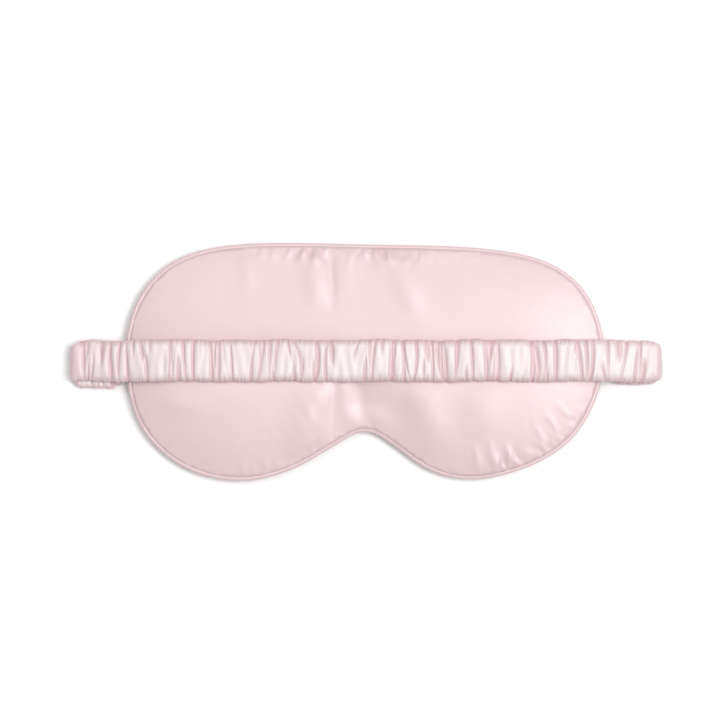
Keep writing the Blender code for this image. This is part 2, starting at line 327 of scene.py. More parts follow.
def subdivided(points, faces, rim):
    """One subdivision, with Loop's weights, of a sheet of triangles whose rim is a list of its points."""
    faces = np.array(faces)
    sides = np.sort(np.concatenate([faces[:, [0, 1]], faces[:, [1, 2]], faces[:, [2, 0]]]), axis=1)
    edges, which = np.unique(sides, axis=0, return_inverse=True)
    which = which.ravel()
    apexes = np.zeros((len(edges), 3))
    np.add.at(apexes, which, points[np.concatenate([faces[:, 2], faces[:, 0], faces[:, 1]])])
    shared = (np.bincount(which) == 2)[:, None]
    ends = points[edges[:, 0]] + points[edges[:, 1]]
    middles = np.where(shared, 0.375 * ends + 0.125 * apexes, 0.5 * ends)
    around = np.zeros_like(points)
    np.add.at(around, edges[:, 0], points[edges[:, 1]])
    np.add.at(around, edges[:, 1], points[edges[:, 0]])
    neighbours = np.bincount(edges.ravel(), minlength=len(points))[:, None]
    moved = 0.625 * points + 0.375 * around / neighbours
    border = points[rim]
    moved[rim] = 0.75 * border + 0.125 * (np.roll(border, 1, axis=0) + np.roll(border, -1, axis=0))
    ab, bc, ca = len(points) + which.reshape(3, -1)
    a, b, c = faces.T
    corners = ((a, ab, ca), (b, bc, ab), (c, ca, bc), (ab, bc, ca))
    quarters = np.concatenate([np.column_stack(corner) for corner in corners])
    number = {tuple(edge): len(points) + k for k, edge in enumerate(edges.tolist())}
    new_rim = []
    for here, there in zip(rim, rim[1:] + rim[:1]):
        new_rim += [here, number[(min(here, there), max(here, there))]]
    return np.vstack([moved, middles]), quarters, new_rim


def sheet_of_cloth(name, points, faces, rim, thickness, finish, detail):
    """A closed sheet of this thickness on its upper points, subdivided once. detail gives the heights of
    the fine mesh from its points."""
    points, faces, rim = subdivided(points, faces, rim)
    points[:, 2] = detail(points)
    count = len(points)
    edge = [[here, count + here, count + there, there] for here, there in zip(rim, rim[1:] + rim[:1])]
    both = np.vstack([points, points - (0, 0, thickness)])
    return make_mesh(name, both, faces.tolist() + (faces + count).tolist() + edge, finish, both[:, :2])


def fine_puckers(points, seed, spacing, places, length, height, base):
    """Heights of small gathers that run about this length inwards from the seam. They are this high where
    the places' gain is 1, and base is their least gain anywhere."""
    random = rng(seed)
    start = 0.6  # they begin this far outside the seam, at the piping
    depth, along = from_seam(points)
    added = np.zeros(len(points))
    at = 0.0
    while at < SEAM_LENGTH:
        at += spacing * random.uniform(0.55, 1.7)
        here = SEAM[int(at / SEAM_LENGTH * RING_STEPS) % RING_STEPS]
        gain = base + near_places(here[None], places)[0]
        deep = height * gain * random.uniform(0.3, 1.0)
        reach = length * (0.4 + gain) * random.uniform(0.5, 1.3)
        wide, tilt = random.uniform(0.55, 1.1), random.uniform(-0.35, 0.35)
        off = (along - at - tilt * depth + SEAM_LENGTH / 2) % SEAM_LENGTH - SEAM_LENGTH / 2
        near = (np.abs(off) < 12) & (depth < 3 * reach)
        o = off[near]
        d = np.maximum(depth[near] + start, 0)
        spread = wide * (1 + 0.9 * d / reach)
        fade = np.exp(-((d / reach) ** 2)) * (1 - np.exp(-d / start))
        ridge = np.exp(-((o / spread) ** 2)) - 0.55 * np.exp(-(((o - 1.9 * spread) / spread) ** 2))
        added[near] += deep * ridge * fade
    return added


def drape_fold(points, start, end, wide, high):
    """A soft ridge of slack cloth along a line, fading at both ends."""
    start, end = np.array(start, float), np.array(end, float)
    along = end - start
    length = np.linalg.norm(along)
    along /= length
    offset = points - start
    t = offset @ along / length
    off = offset @ np.array([-along[1], along[0]])
    ends = smooth_step(t / 0.35 + 0.3) * smooth_step((1 - t) / 0.6 + 0.1)
    return high * np.exp(-((off / wide) ** 2)) * ends


# Where the seams are gathered, as (x, y, reach, gain)
FACE_GATHERS = (
    (-38, 49, 14, 0.5), (-14, 49, 20, 1.0), (12, 49, 18, 0.8), (34, 48, 16, 0.5),
    (-50, -49, 18, 0.6), (-24, -40, 12, 0.4), (56, -48, 16, 0.9), (82, -36, 16, 0.9),
)
# Where the face panel's cloth hangs slack, as ridges and furrows (start, end, width, height)
FACE_FOLDS = (
    # from the brow
    ((-24, 51), (-21, 20), 4.5, 0.9), ((-16, 51), (-14, 20), 1.9, -0.75), ((-9, 50), (-8, 26), 3.5, 0.25),
    ((12, 50), (24, 14), 5.5, 0.95), ((7, 51), (7, 38), 1.8, 0.35), ((-53, 52), (-51, 24), 3.2, 0.35),
    # beside the nose and over the cheeks
    ((-19, -4), (-32, -46), 7.0, 1.5), ((-14, -6), (-15, -38), 1.7, -0.2), ((-10, -6), (-9, -32), 2.8, 0.35),
    ((-3, -6), (-2, -30), 3.2, -0.5), ((-92, -16), (-62, -22), 4.0, 0.25), ((22, -6), (32, -44), 8.5, 1.3),
    ((51, -6), (50, -36), 8.0, 0.5),
    # short ones along the wearer's right cheek
    ((50, -50), (47, -34), 1.3, 0.35), ((56, -49), (54, -32), 1.4, 0.4), ((64, -47), (61, -34), 1.2, 0.3),
    ((80, -38), (73, -26), 1.3, 0.3), ((86, -33), (78, -21), 1.2, 0.3), ((90, -25), (82, -16), 1.2, 0.2),
)


def rim_height(up):
    """Height at which a panel meets the piping, on its upper (1) or lower (-1) side."""
    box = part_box("piping_sleeve_left")
    return ((box[0].z + box[1].z) / 2 + up * RIM_RISE * (box[1].z - box[0].z) / 2) / MM


def strap_span(side):
    """The strap's middle and its half width, along Y."""
    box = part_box(f"strap_sleeve_{side}")
    return (box[0].y + box[1].y) / 2 / MM, (box[1].y - box[0].y) / 2 / MM


def under_strap(plan, height):
    """Heights of the face panel, pressed down where the strap passes over it."""
    middle, half = strap_span("right")
    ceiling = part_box("strap_sleeve_right")[1].z / MM - STRAP_THICKNESS - 2 * LAYER_GAP
    beside = np.abs(plan[:, 1] - middle) - half
    over = height - ceiling - PRESS_ROOM * smooth_step((beside + PRESS_START) / PRESS_REACH)
    return height - 0.5 * (over + np.sqrt(over**2 + PRESS_SOFTNESS))


def filled_height(depth, plan):
    """Top of the padding under the face panel."""
    rim = rim_height(1)
    swell = 1 - (1 - np.clip(depth / FACE_REACH, 0, 1)) ** 2.2
    nose = np.exp(-((plan[:, 0] - NOSE_X) / NOSE_WIDTH) ** 2)
    nose = nose * smooth_step((NOSE_TOP - plan[:, 1]) / NOSE_FADE)
    return rim + FACE_PUFF * swell - NOSE_DIP * nose * smooth_step(depth / 12)


def resting_height(depth, plan):
    """Underside of the front panel: flat where it rests, curling up to the seam, and low where the
    strap's ends enter above it."""
    rim = rim_height(-1)
    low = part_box("strap_sleeve_left")[0].z / MM + LAYER_GAP
    middle, half = strap_span("left")
    clear = smooth_step((np.abs(plan[:, 1] - middle) - half + EXIT_OVERLAP) / EXIT_REACH)
    start = low + (rim - low) * np.where(np.abs(plan[:, 0]) > EXIT_FROM, clear, 1)
    return start * (1 - np.clip(depth / FRONT_REACH, 0, 1)) ** 2


def buckled_panel(seed, filling, least_slack, most_slack, push):
    """A panel's points once its cloth has buckled over the filling, its triangles and its rim."""
    plan, faces, rim_count = plan_mesh(CLOTH_SPACING, seed)
    depth = from_seam(plan)[0]
    depth[:rim_count] = 0
    height = filling(depth, plan)
    pinned = (np.arange(len(plan)) < rim_count).astype(float)
    slack = least_slack + (1 - least_slack) * np.minimum(near_places(plan, FACE_GATHERS), 1)
    points = simulate(plan, height, faces, pinned, slack, most_slack, push)
    points[:, 2] = height + MOST_BUCKLE * np.tanh((points[:, 2] - height) / MOST_BUCKLE)
    return points, faces, list(range(rim_count))


def face_panel(finish):
    """The face side: satin gathered into the seam over its padding."""
    points, faces, rim = buckled_panel(5, filled_height, least_slack=0.25, most_slack=0.03, push=0.3)

    def detail(fine):
        inside_seam = np.maximum(from_seam(fine)[0], 0)
        folds = sum(drape_fold(fine[:, :2], *fold) for fold in FACE_FOLDS)
        folds = folds * smooth_step(inside_seam / 5)
        lip = LIP * (1 - np.exp(-inside_seam / LIP_REACH))
        puckers = fine_puckers(fine, 11, 2.0, FACE_GATHERS, length=3.3, height=0.85, base=0.14)
        return under_strap(fine, fine[:, 2] + lip + folds + puckers)

    return sheet_of_cloth("face_panel_satin", points, faces, rim, PANEL_CLOTH, finish, detail)


def front_panel(finish):
    """The side that the mask lies on. Its puckers leave the strap's ends and the resting part clear."""
    points, faces, rim = buckled_panel(6, resting_height, least_slack=0.3, most_slack=0.02, push=-0.3)
    points[:, 2] = np.maximum(points[:, 2], FLOOR_GAP)

    def detail(fine):
        puckers = fine_puckers(fine, 23, 4.0, FACE_GATHERS, length=4.0, height=0.3, base=0.2)
        near_seam = smooth_step((12 - from_seam(fine)[0]) / 6)
        return fine[:, 2] - puckers * near_seam * smooth_step((np.abs(fine[:, 1]) - 14) / 8)

    return sheet_of_cloth("front_panel_satin", points, faces, rim, -PANEL_CLOTH, finish, detail)


# ---------------------------------------------------------------- layers inside


def mesh_points(obj):
    """The object's points, in millimetres."""
    places = np.empty(len(obj.data.vertices) * 3)
    obj.data.vertices.foreach_get("co", places)
    return places.reshape(-1, 3) / MM


def nearest_heights(panel, plan, reach, pick):
    """The lowest or highest (pick) height of the panel within reach of each plan point."""
    cloth = mesh_points(panel)
    tree = kd_tree(cloth)
    found = []
    for x, y in plan.tolist():
        near = [index for _, index, _ in tree.find_range((x, y, 0.0), reach)]
        found.append(pick(cloth[near, 2]))
    return np.array(found)


def inner_rings(inset):
    """Plan points on rings from the given distance inside the seam to the middle."""
    rim = (SEAM + INWARD * inset)[:: RING_STEPS // INNER_STEPS]
    return np.concatenate([rim * (1 - (k / INNER_RINGS) ** 1.3) for k in range(INNER_RINGS)])


def inner_layer(name, inset, low, high, finish, seed, unevenness):
    """A closed layer between two heights, which are functions of plan points, with an uneven surface."""
    count, steps = INNER_RINGS, INNER_STEPS
    plan = inner_rings(inset)
    random = rng(seed)
    sheets = []
    for height, inwards in ((high, -1), (low, 1)):
        z = height(plan) + inwards * unevenness * random.uniform(0, 1, len(plan))
        middle = [*plan[-steps:].mean(0), z[-steps:].mean()]
        sheets.append(np.vstack([np.column_stack([plan, z]), middle]))
    total, last = len(sheets[0]), (count - 1) * steps
    faces = grid_faces(count, steps) + grid_faces(count, steps, total)
    for i in range(steps):
        j = (i + 1) % steps
        faces += [[last + i, last + j, total - 1], [total + last + j, total + last + i, 2 * total - 1]]
        faces.append([i, total + i, total + j, j])
    points = np.vstack(sheets)
    return make_mesh(name, points, faces, finish, points[:, :2])


def area_inside(loop):
    """Area of the plan inside a closed loop of points."""
    x, y = loop[:, 0], loop[:, 1]
    return abs((x * np.roll(y, -1) - y * np.roll(x, -1)).sum()) / 2


def level(height):
    """The same height at every plan point."""
    return lambda plan: np.full(len(plan), height)


def lining_heights():
    """The lining's underside and top."""
    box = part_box("blackout_lining_left")
    return box[0].z / MM, box[1].z / MM


def make_waddings(face, front, finish):
    """The padding between each panel and the lining, whole across the fold."""
    lining_low, lining_high = lining_heights()

    def below_face(plan):
        top = nearest_heights(face, plan, WADDING_FEEL, np.min) - LAYER_GAP
        return np.maximum(top, lining_high + 2 * LAYER_GAP)

    def above_front(plan):
        bottom = nearest_heights(front, plan, WADDING_FEEL, np.max) + LAYER_GAP
        return np.minimum(bottom, lining_low - 2 * LAYER_GAP)

    pads = (
        ("face_wadding", FACE_WADDING_INSET, level(lining_high + LAYER_GAP), below_face, 41),
        ("front_wadding", FRONT_WADDING_INSET, above_front, level(lining_low - LAYER_GAP), 42),
    )
    for node, inset, low, high, seed in pads:
        pad = inner_layer(f"{node}_needled", inset, low, high, finish, seed, unevenness=0.12)
        over_fold(pad, node)


def make_lining(finish):
    """The blackout lining, whole across the fold."""
    low, high = (level(height) for height in lining_heights())
    sheet = inner_layer("blackout_lining_cloth", LINING_INSET, low, high, finish, 43, unevenness=0.05)
    rim = SEAM + INWARD * LINING_INSET
    area_inside(rim) * MM**2
    over_fold(sheet, "blackout_lining")


def make_cord(finish):
    """The piping's cord, whole across the fold."""
    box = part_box("piping_cord_left")
    cord = piping(finish, "piping_cord_twisted", 7, 0.03, (box[1].z - box[0].z) / 2 / MM)
    over_fold(cord, "piping_cord")


# ---------------------------------------------------------------- piping


def piping(finish, name, seed, wrinkle, radius=None):
    """A round tube along the outside of the seam, with the small drag lines of bias cloth. With a radius
    of its own it lies in the middle of the piping."""
    random = rng(seed)
    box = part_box("piping_sleeve_left")
    height = (box[0].z + box[1].z) / 2 / MM
    middle = (box[1].z - box[0].z) / 2 / MM
    radius = radius or middle
    sides = 20
    centre = SEAM - INWARD * middle
    waver = np.zeros(RING_STEPS)
    for k in range(1, 26):
        size = random.normal() / k**0.6
        phase = random.uniform(0, 6.28)
        waver += size * np.sin(2 * math.pi * k * ALONG / SEAM_LENGTH + phase)
    rows = []
    for k in range(sides):
        angle = 2 * math.pi * k / sides
        twist = ALONG * 1.15 + 2.2 * math.cos(angle) + 1.4 * waver
        pulled = wrinkle * (np.sin(twist) * 0.6 + np.sin(twist * 2.37 + 1.3) * 0.4) * (1 + 0.5 * waver / 3)
        r = radius + pulled
        rows.append(np.column_stack([centre - INWARD * (r * math.cos(angle))[:, None],
                                     height + r * math.sin(angle) + 0.05 * waver]))
    points = np.concatenate(rows)
    faces = []
    for k in range(sides):
        n = (k + 1) % sides
        for i in range(RING_STEPS):
            j = (i + 1) % RING_STEPS
            faces.append([k * RING_STEPS + i, k * RING_STEPS + j, n * RING_STEPS + j, n * RING_STEPS + i])
    round_way = np.arange(sides) * 2 * math.pi * radius / sides
    uv = np.column_stack([np.tile(ALONG, sides), np.repeat(round_way, RING_STEPS)])
    return make_mesh(name, points, faces, finish, uv)


# ---------------------------------------------------------------- strap


def strap_route():
    """Middle line of the right half of the strap, from the middle of the mask out over the face side,
    round the fold and back under the piping, as points (x, z) at even distances, with how far each is
    pressed flat and how near it is to the fold."""
    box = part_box("strap_sleeve_right")
    low, high, far = box[0].z / MM, box[1].z / MM, box[1].x / MM
    half = STRAP_THICKNESS / 2
    top, bottom = high - half - 0.05, low + half + 0.1
    radius = (top - STRAP_DROP - bottom) / 2
    turn_x = far - half - 0.1 - radius
    mask_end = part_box("piping_sleeve_right")[1].x / MM
    drop_x = mask_end - DROP_START
    points = [(x, top - STRAP_DROP * smooth_step((x - drop_x) / (turn_x - drop_x)))
              for x in np.linspace(0, turn_x, 40)]
    for k in range(1, 17):
        angle = math.pi / 2 - math.pi * k / 16
        points.append((turn_x + radius * math.cos(angle), bottom + radius + radius * math.sin(angle)))
    pressed_z = bottom - 0.2
    stitches_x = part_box("strap_end_stitching_right")[0].x / MM
    points += [(mask_end + 8, bottom), (mask_end + 2, pressed_z), (stitches_x - 1, pressed_z)]
    points = np.array(points)
    along = np.insert(np.cumsum(np.linalg.norm(np.diff(points, axis=0), axis=1)), 0, 0)
    at = np.linspace(0, along[-1], int(along[-1] / STRAP_STEP))
    line = np.column_stack([np.interp(at, along, points[:, k]) for k in (0, 1)])
    for _ in range(ROUTE_PASSES):
        line[1:-1] = (line[:-2] + 2 * line[1:-1] + line[2:]) / 4
    press = 1 - smooth_step((along[-1] - at - SEWN_LENGTH) / SEWN_TAPER)
    fold_at = at[line[:, 0].argmax()]
    return line, at, press, np.exp(-(((at - fold_at) / FOLD_WIDTH) ** 2))


def strap_line():
    """The route with, at each of its points, the direction across the strap's thickness."""
    line, at, press, fold = strap_route()
    along = np.gradient(line, axis=0)
    along /= np.linalg.norm(along, axis=1)[:, None]
    return line, at, press, fold, np.column_stack([-along[:, 1], along[:, 0]])


def creases(seed, length, mean):
    """Crease lines across the strap: place, slant, bow, width, how much wider they are at the upper edge
    than at the lower, depth, the stretch of the strap's width that each one covers, and how far one of
    its lips stands above the other."""
    random = rng(seed)
    found = []
    at = -length
    while at < length:
        gap = mean * random.choice([0.45, 0.8, 1.2, 1.8, 2.6], p=[0.28, 0.27, 0.22, 0.14, 0.09])
        at += gap * random.uniform(0.8, 1.2)
        kind = random.uniform()
        low, high = -3.0, 3.0
        if 0.6 < kind < 0.8:
            low = random.uniform(-0.6, 0.1)
        elif kind >= 0.8:
            high = random.uniform(-0.1, 0.6)
        width = random.uniform(0.14, 0.3) * random.choice([1.0, 3.0], p=[0.84, 0.16])
        found.append((at, random.normal() * 0.07, random.normal() * 0.5, width, random.uniform(-0.85, 0.85),
                      random.uniform(0.6, 1.3), low, high, random.uniform(-1, 1)))
    return found


def carve(u, v, lines):
    """How deep the crease lines cut at strap place u and width place v, from -1 to 1, and how high their
    lips stand."""
    total, lips = (np.zeros(np.broadcast(u, v).shape) for _ in range(2))
    for at, slant, bow, width, wedge, deep, low, high, lap in lines:
        near = (u[:, 0] > at - 9) & (u[:, 0] < at + 9)
        if not near.any():
            continue
        off = u[near] - at - slant * v * STRAP_WIDTH / 2 - bow * (v**2 - 0.4)
        wide = width * (1 + wedge * v)
        cover = smooth_step((v - low) / 0.9) * smooth_step((high - v) / 0.9)
        sharp = np.exp(-np.sqrt(off**2 + 0.008) / wide)
        broad = np.exp(-((off / (wide + 0.7)) ** 2))
        total[near] += deep * cover * (1 + 0.35 * wedge * v) * (1.05 * sharp + 0.12 * broad)
        lips[near] += lap * cover * np.tanh(off / 0.3) * np.exp(-np.abs(off) / 1.7)
    return total, lips


def edge_gathers(u, v, seed, length):
    """Short pinches that run in from both edges of the strap."""
    random = rng(seed)
    total = np.zeros(np.broadcast(u, v).shape)
    for edge in (-1, 1):
        at = -length
        while at < length:
            at += random.uniform(1.0, 2.6)
            reach = random.uniform(0.16, 0.5)
            deep, wide, slant = random.uniform(0.4, 1.2), random.uniform(0.2, 0.4), random.normal() * 1.1
            near = (u[:, 0] > at - 5) & (u[:, 0] < at + 5)
            if not near.any():
                continue
            inward = 1 - edge * v
            fade = np.clip(1 - inward / reach, 0, 1) ** 1.2
            off = u[near] - at - slant * inward
            total[near] += deep * fade * np.exp(-np.sqrt(off**2 + 0.01) / (wide * (0.4 + fade)))
    return total


def soft_floor(value, floor):
    """The value, kept above the floor by a smooth bend."""
    return 0.5 * (value + floor + np.sqrt((value - floor) ** 2 + 0.01))


def edge_sink(v, press):
    """How far a place across the strap lies below its middle, towards the mask."""
    return EDGE_SINK * np.abs(v) ** 4 * (1 - press)[:, None]


def past_fold(at, bend):
    """1 on the strap's folded-back end and 0 on its run over the face side."""
    return smooth_step((at - at[bend.argmax()] + 5) / 10)


def strap_surface(u, vv, length, press, seed):
    """Distance of one face of the sleeve from the strap's middle, and how deep its folds are there."""
    cut, lips = carve(u, vv, creases(seed, length, 3.2))
    cut = np.tanh(1.2 * cut)
    pinch = edge_gathers(u, vv, seed + 14, length)
    random = rng(seed + 5)
    waves = np.zeros_like(cut)
    for _ in range(9):
        period, turn, phase = random.uniform(2.5, 8), random.uniform(-0.5, 0.5), random.uniform(0, 6.28)
        waves += np.sin(2 * math.pi * (u + turn * vv * 6) / period + phase) / 9
    fold = np.clip(cut + 0.85 * pinch, 0, 1.5)
    open_press = 1 - 0.75 * press[:, None]
    rise = CREASE_DEPTH * (0.5 - fold) + LAP_HEIGHT * lips + 0.3 * waves
    edge = np.abs(vv) ** 10
    rounding = np.sqrt(np.clip(1 - np.abs(vv) ** 16, 0, 1))
    body = (STRAP_THICKNESS - CREASE_DEPTH) * (1 - press) + (PRESSED_THICKNESS - 0.5) * press
    crown = (body[:, None] / 2 * (1 - edge) + EDGE_HALF * edge) * rounding
    surface = crown + rise * (1 - 0.6 * edge) * open_press
    floor = (ELASTIC_THICKNESS / 2 + STRAP_CLOTH + 0.12) * (1 - edge) * rounding + 0.1
    return soft_floor(surface, floor), fold


def tube_faces(rows, columns):
    """Faces of a tube with an outer and an inner wall, which meet at both open ends."""
    count = rows * columns
    faces = grid_faces(rows, columns) + grid_faces(rows, columns, count)
    for first in (0, count - columns):
        for c in range(columns):
            d = (c + 1) % columns
            faces.append([first + c, count + first + c, count + first + d, first + d])
    return faces


def strap_sleeve(side, finish):
    """One half of the gathered satin tube, open at both ends, from the middle of the mask to the seam, and
    the length of its middle line."""
    sign = -1 if side == "left" else 1
    line, at, press, bend, across = strap_line()
    u = (sign * at)[:, None]
    # v runs across the strap from -1 to 1, with its steps closer together towards the edges
    v = np.sin(np.linspace(-math.pi / 2, math.pi / 2, 40))
    v = np.sign(v) * (1 - (1 - np.abs(v)) ** 0.8)
    vv = v[None, :]
    outward, outward_fold = strap_surface(u, vv, at[-1], press, 31)
    inward, inward_fold = strap_surface(u, vv, at[-1], press, 47)
    deep = np.minimum(outward_fold + 0.4 * inward_fold, 1.6)
    turned = past_fold(at, bend)
    gathered = np.where(vv < 0, deep[:, [0]], deep[:, [-1]]) * (1 + 0.4 * turned)[:, None]
    draw = 0.5 * gathered + CORNER_DRAW * bend[:, None]
    wide = STRAP_WIDTH / 2 + 0.2 - draw * np.abs(vv) ** 4
    sink = edge_sink(vv, press)
    waver = 0.18 * np.sin(u[:, 0] / 7.1 + 0.4) + 0.14 * np.sin(u[:, 0] / 3.3)
    shift = waver - LOWER_SHIFT[side] * turned * (1 - press)
    y = strap_span("right")[0] + wide * vv + shift[:, None]

    def ring_at(inset):
        faces = []
        for way, distance in ((1, outward), (-1, inward)):
            reach = way * np.maximum(distance - inset, 0.02) - sink
            faces.append(np.dstack([sign * (line[:, :1] + across[:, :1] * reach),
                                    y - np.sign(vv) * inset * (np.abs(vv) > 0.97),
                                    line[:, 1:] + across[:, 1:] * reach]))
        return np.concatenate([faces[0], faces[1][:, ::-1]], axis=1)

    outer, inner = ring_at(0.0), ring_at(STRAP_CLOTH)
    rows, columns = outer.shape[:2]
    points = np.concatenate([outer.reshape(-1, 3), inner.reshape(-1, 3)])
    round_way = np.concatenate([v, 2 - v[::-1]]) * STRAP_WIDTH / 2
    uv = np.column_stack([np.repeat(u[:, 0] * GATHER_RATIO, columns), np.tile(round_way, rows)])
    # Painted shade: a deeper pink along the strap's edges and at its fold end, carried with the creases in
    # the fold attribute.
    edge = np.maximum(0.55 * smooth_step((np.abs(vv) - 0.7) / 0.3), 0.5 * bend[:, None])
    fold = np.concatenate([np.maximum(outward_fold, edge), np.maximum(inward_fold, edge)[:, ::-1]], axis=1)
    piece = make_mesh(f"strap_sleeve_{side}_gathered", points, tube_faces(rows, columns), finish,
                      np.vstack([uv, uv]), np.tile(np.clip(fold, 0, 1).ravel(), 2))
    return piece, at[-1]


def strap_elastic(side, finish):
    """Flat woven elastic inside one half of the sleeve."""
    sign = -1 if side == "left" else 1
    line, at, press, bend, across = (values[::5] for values in strap_line())
    turned = past_fold(at, bend)
    mid_y = strap_span("right")[0] - (LOWER_SHIFT[side] * turned * (1 - press))[:, None]
    half = (ELASTIC_THICKNESS * (1 - press) + 0.5 * press) / 2
    ribs = np.linspace(-1, 1, 31)
    rise = 0.06 * np.cos(ribs * math.pi * 15)
    sheets = []
    sink = edge_sink(ribs[None] * ELASTIC_WIDTH / STRAP_WIDTH, press)
    for face in (1, -1):
        thick = face * (half[:, None] + rise[None] * 0.5) - sink
        sheets.append(np.dstack([
            sign * (line[:, :1] + across[:, :1] * thick),
            mid_y + ribs[None] * ELASTIC_WIDTH / 2,
            line[:, 1:] + across[:, 1:] * thick,
        ]))
    ring = np.concatenate([sheets[0], sheets[1][:, ::-1]], axis=1)
    rows, columns = ring.shape[:2]
    ends = [list(range(columns)), list(range((rows - 1) * columns, rows * columns))]
    faces = grid_faces(rows, columns) + ends
    round_way = np.concatenate([ribs, 2 - ribs[::-1]])
    uv = np.column_stack([np.repeat(sign * at, columns), np.tile(round_way, rows) * ELASTIC_WIDTH / 2])
    return make_mesh(f"strap_elastic_{side}_woven", ring.reshape(-1, 3), faces, finish, uv)


# ---------------------------------------------------------------- materials


def node_tree(name):
    found = bpy.data.materials.new(name)
    found.use_nodes = True
    tree = found.node_tree
    return found, tree, tree.nodes["Principled BSDF"]


def add(tree, kind, **values):
    """A new node of this kind. Each value goes to the socket of that name or, without one, to the node."""
    node = tree.nodes.new(kind)
    for key, value in values.items():
        if key in node.inputs:
            node.inputs[key].default_value = value
        else:
            setattr(node, key, value)
    return node


def cloth_coordinates(tree, scale):
    """Cloth coordinates in metres, scaled."""
    uv = add(tree, "ShaderNodeUVMap", uv_map="cloth")
    mapping = add(tree, "ShaderNodeMapping")
    mapping.inputs["Scale"].default_value = scale
    tree.links.new(uv.outputs["UV"], mapping.inputs["Vector"])
    return mapping.outputs["Vector"]


def satin(name, color, shade, roughness, crease_painted_shade=None):
    """Satin: a smooth face of long floats with faint slubs under a bright gloss. Where a crease colour is
    given,
    it is painted shade: the creases, edges and bend of gathered cloth take that deeper colour through the
    fold attribute."""
    found, tree, shader = node_tree(name)
    link = tree.links.new
    weave_scale, slub_scale, cloud_scale = (2600, 2600, 1), (90, 900, 1), (28, 28, 1)  # per metre of cloth
    weave = add(tree, "ShaderNodeTexWave", wave_type="BANDS", bands_direction="DIAGONAL", Scale=1.0,
                Distortion=2.5, Detail=2.0)
    weave.inputs["Detail Scale"].default_value = 2.0
    link(cloth_coordinates(tree, weave_scale), weave.inputs["Vector"])
    slub = add(tree, "ShaderNodeTexNoise", Scale=1.0, Detail=4.0)
    link(cloth_coordinates(tree, slub_scale), slub.inputs["Vector"])
    cloud = add(tree, "ShaderNodeTexNoise", Scale=1.0, Detail=3.0)
    link(cloth_coordinates(tree, cloud_scale), cloud.inputs["Vector"])
    tint = add(tree, "ShaderNodeMix", data_type="RGBA")
    tint.inputs["A"].default_value = (*color, 1)
    tint.inputs["B"].default_value = (*shade, 1)
    mixed = add(tree, "ShaderNodeMath", operation="MULTIPLY_ADD")
    link(slub.outputs["Fac"], mixed.inputs[0])
    mixed.inputs[1].default_value = 0.35
    link(cloud.outputs["Fac"], mixed.inputs[2])
    spread = add(tree, "ShaderNodeMapRange")
    spread.inputs["From Min"].default_value = 0.45
    spread.inputs["From Max"].default_value = 0.95
    link(mixed.outputs[0], spread.inputs["Value"])
    link(spread.outputs["Result"], tint.inputs["Factor"])
    result = tint.outputs["Result"]
    if crease_painted_shade:
        # Painted shade: the fold attribute mixes in the deeper crease colour.
        depth = add(tree, "ShaderNodeAttribute", attribute_name="fold")
        crease_shade_mix = add(tree, "ShaderNodeMix", data_type="RGBA")
        crease_shade_mix.inputs["B"].default_value = (*crease_painted_shade, 1)
        link(depth.outputs["Fac"], crease_shade_mix.inputs["Factor"])
        link(result, crease_shade_mix.inputs["A"])
        result = crease_shade_mix.outputs["Result"]
    link(result, shader.inputs["Base Color"])
    rough = add(tree, "ShaderNodeMapRange")
    rough.inputs["To Min"].default_value = roughness - 0.04
    rough.inputs["To Max"].default_value = roughness + 0.05
    link(slub.outputs["Fac"], rough.inputs["Value"])
    link(rough.outputs["Result"], shader.inputs["Roughness"])
    bump = add(tree, "ShaderNodeBump", Strength=0.12, Distance=0.00004)
    link(weave.outputs["Fac"], bump.inputs["Height"])
    coarse = add(tree, "ShaderNodeBump", Strength=0.25, Distance=0.00008)
    link(slub.outputs["Fac"], coarse.inputs["Height"])
    link(bump.outputs["Normal"], coarse.inputs["Normal"])
    link(coarse.outputs["Normal"], shader.inputs["Normal"])
    shader.inputs["Sheen Weight"].default_value = 0.2
    shader.inputs["Sheen Roughness"].default_value = 0.35
    shader.inputs["Sheen Tint"].default_value = (1.0, 0.98, 0.98, 1)
    shader.inputs["Specular IOR Level"].default_value = 0.95
    shader.inputs["Coat Weight"].default_value = 0.3
    shader.inputs["Coat Roughness"].default_value = 0.4
    return found


def plain_cloth(name, color, shade, roughness, scale, depth):
    """Fibrous cloth for the pieces inside the mask."""
    found, tree, shader = node_tree(name)
    link = tree.links.new
    place = add(tree, "ShaderNodeTexCoord")
    noise = add(tree, "ShaderNodeTexNoise", Scale=scale, Detail=6.0)
    link(place.outputs["Object"], noise.inputs["Vector"])
    ramp = add(tree, "ShaderNodeMix", data_type="RGBA")
    ramp.inputs["A"].default_value = (*color, 1)
    ramp.inputs["B"].default_value = (*shade, 1)
    link(noise.outputs["Fac"], ramp.inputs["Factor"])
    link(ramp.outputs["Result"], shader.inputs["Base Color"])
    bump = add(tree, "ShaderNodeBump", Strength=0.5, Distance=depth)
    link(noise.outputs["Fac"], bump.inputs["Height"])
    link(bump.outputs["Normal"], shader.inputs["Normal"])
    shader.inputs["Roughness"].default_value = roughness
    shader.inputs["Sheen Weight"].default_value = 0.2
    return found


# ---------------------------------------------------------------- stage


def make_stage():
    """A plain pale floor that reaches past every view."""
    floor_mat, _, shader = node_tree("paper_floor")
    shader.inputs["Base Color"].default_value = (0.93, 0.93, 0.93, 1)
    shader.inputs["Roughness"].default_value = 0.9
    reach = 3000.0
    corners = [(-reach, -reach, 0), (reach, -reach, 0), (reach, reach, 0), (-reach, reach, 0)]
    floor = make_mesh("floor", corners, [[0, 1, 2, 3]], floor_mat, closed=False)


def area_light(name, place, target, size, power, color):
    data = bpy.data.lights.new(name, "AREA")
    data.shape = "RECTANGLE"
    data.size, data.size_y = size
    data.energy = power
    data.color = color
    lamp = bpy.data.objects.new(name, data)
    bpy.context.scene.collection.objects.link(lamp)
    lamp.location = place
    lamp.rotation_euler = (Vector(target) - Vector(place)).to_track_quat("-Z", "Y").to_euler()


